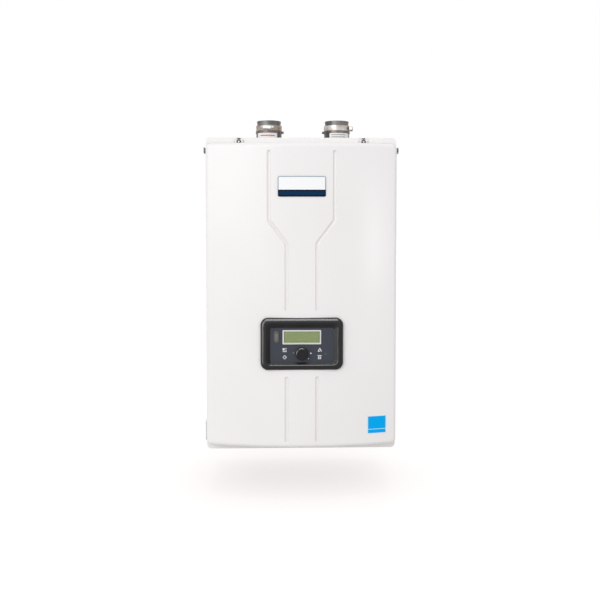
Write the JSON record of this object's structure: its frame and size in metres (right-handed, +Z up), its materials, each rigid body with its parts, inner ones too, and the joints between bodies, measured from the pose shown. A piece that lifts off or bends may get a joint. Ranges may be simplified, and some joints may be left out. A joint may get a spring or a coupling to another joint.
{
  "type": "tankless water heater",
  "caption": "Wall-hung tankless water heater: bowed white cover with pressed grooves, control panel with knob, side latches, vent collars on top and recessed pipe fittings.",
  "frame": {"origin": "middle of the overall footprint, at the level of the case's bottom rim", "axes": "+X to the right seen from the front, +Y from the front to the wall, +Z up"},
  "size_m": [0.4412, 0.296, 0.7635],
  "materials": {
    "white_painted_steel": "smooth gloss white paint",
    "galvanised_steel": "zinc-coated sheet",
    "zinc_plated_screws": "zinc-plated",
    "cover_screw_steel": "bright plated",
    "foam_rubber": "closed-cell foam",
    "badge_face": "printed gloss face",
    "label_film": "printed film",
    "label_paper": "coated paper",
    "latch_steel": "dark plated steel",
    "collar_steel": "satin dark stainless",
    "clamp_steel": "bright stainless strip",
    "bezel_plastic": "fine-textured",
    "fascia_plastic": "satin",
    "frame_plastic": "silver lacquer",
    "window_plastic": "clear moulding",
    "lcd_glass": "unlit green screen",
    "button_plastic": "satin",
    "board_laminate": "green board",
    "shaft_steel": "turned",
    "encoder_plastic": "moulded",
    "exchanger_stainless": "stainless sheet",
    "cast_aluminium": "as cast",
    "motor_enamel": "black enamel",
    "copper_pipe": "drawn copper",
    "brass_fittings": "machined",
    "grey_plastic": "moulded"
  },
  "bodies": {
    "heater": {"case_wrapper": "white_painted_steel", "front_cover": "white_painted_steel", "back_panel": "galvanised_steel", "bottom_tray": "galvanised_steel", "upper_wall_bracket": "galvanised_steel", "lower_wall_bracket": "galvanised_steel", "exchanger_bracket": "galvanised_steel", "case_screws": "zinc_plated_screws", "cover_screws": "cover_screw_steel", "clamp_screws": "cover_screw_steel", "cover_gasket": "foam_rubber", "vent_seals": "foam_rubber", "badge_plate": "badge_face", "corner_label": "label_film", "vent_labels": "label_paper", "latch_base_right": "latch_steel", "latch_keeper_right": "latch_steel", "latch_base_left": "latch_steel", "latch_keeper_left": "latch_steel", "exhaust_collar": "collar_steel", "intake_collar": "collar_steel", "exhaust_clamp": "clamp_steel", "intake_clamp": "clamp_steel", "control_bezel": "bezel_plastic", "control_housing": "bezel_plastic", "control_fascia": "fascia_plastic", "display_frame": "frame_plastic", "display_window": "window_plastic", "lcd_module": "lcd_glass", "control_board": "board_laminate", "igniter": "shaft_steel", "knob_encoder": "encoder_plastic", "primary_heat_exchanger": "exchanger_stainless", "secondary_heat_exchanger": "exchanger_stainless", "burner": "exchanger_stainless", "exhaust_duct": "exchanger_stainless", "blower_housing": "cast_aluminium", "venturi_mixer": "cast_aluminium", "gas_valve": "cast_aluminium", "blower_motor": "motor_enamel", "cold_pipe": "copper_pipe", "hot_pipe": "copper_pipe", "gas_pipe": "copper_pipe", "cold_fitting": "brass_fittings", "hot_fitting": "brass_fittings", "gas_fitting": "brass_fittings", "flow_sensor": "brass_fittings", "condensate_trap": "grey_plastic", "condensate_pipe": "grey_plastic", "controller_box": "grey_plastic", "power_gland": "grey_plastic"},
    "knob_spindle": {"knob_shaft": "shaft_steel"},
    "knob_cap": {"control_knob": "bezel_plastic"},
    "button": {"power_button": "button_plastic"},
    "lever_right": {"latch_lever_right": "latch_steel"},
    "lever_left": {"latch_lever_left": "latch_steel"},
    "bail_right": {"latch_bail_right": "latch_steel"},
    "bail_left": {"latch_bail_left": "latch_steel"},
    "blower_rotor": {"impeller": "encoder_plastic"},
    "sensor_rotor": {"flow_turbine": "encoder_plastic"}
  },
  "joints": [
    {"name": "knob_turn", "type": "hinge", "parent": "heater", "child": "knob_spindle", "pos_m": [0, -0.14, 0.2282], "axis": [0, -1, 0], "continuous": true},
    {"name": "knob_press", "type": "slide", "parent": "knob_spindle", "child": "knob_cap", "axis": [0, 1, 0], "range_m": [0, 0.0005], "stiffness_N_per_m": 2000, "springref_m": -0.0005},
    {"name": "power_button_press", "type": "slide", "parent": "heater", "child": "button", "axis": [0, 1, 0], "range_m": [0, 0.0015], "stiffness_N_per_m": 800, "springref_m": -0.001},
    {"name": "latch_lever_right_turn", "type": "hinge", "parent": "heater", "child": "lever_right", "pos_m": [0.2189, -0.08, 0.682], "axis": [0, 0, -1], "range_deg": [0, 150]},
    {"name": "latch_lever_left_turn", "type": "hinge", "parent": "heater", "child": "lever_left", "pos_m": [-0.2189, -0.08, 0.682], "axis": [0, 0, 1], "range_deg": [0, 150]},
    {"name": "latch_bail_right_turn", "type": "hinge", "parent": "lever_right", "child": "bail_right", "pos_m": [0.2189, -0.076, 0.682], "axis": [0, 0, -1], "range_deg": [-150, 0]},
    {"name": "latch_bail_left_turn", "type": "hinge", "parent": "lever_left", "child": "bail_left", "pos_m": [-0.2189, -0.076, 0.682], "axis": [0, 0, 1], "range_deg": [-150, 0]},
    {"name": "impeller_spin", "type": "hinge", "parent": "heater", "child": "blower_rotor", "pos_m": [0.06, 0.02, 0.612], "axis": [0, 1, 0], "continuous": true},
    {"name": "flow_turbine_spin", "type": "hinge", "parent": "heater", "child": "sensor_rotor", "pos_m": [0.08, 0.025, 0.0932], "axis": [0, 0, 1], "continuous": true}
  ],
  "couplings": [
    {"joint": "latch_bail_right_turn", "follows": "latch_lever_right_turn", "ratio": -1},
    {"joint": "latch_bail_left_turn", "follows": "latch_lever_left_turn", "ratio": -1}
  ]
}
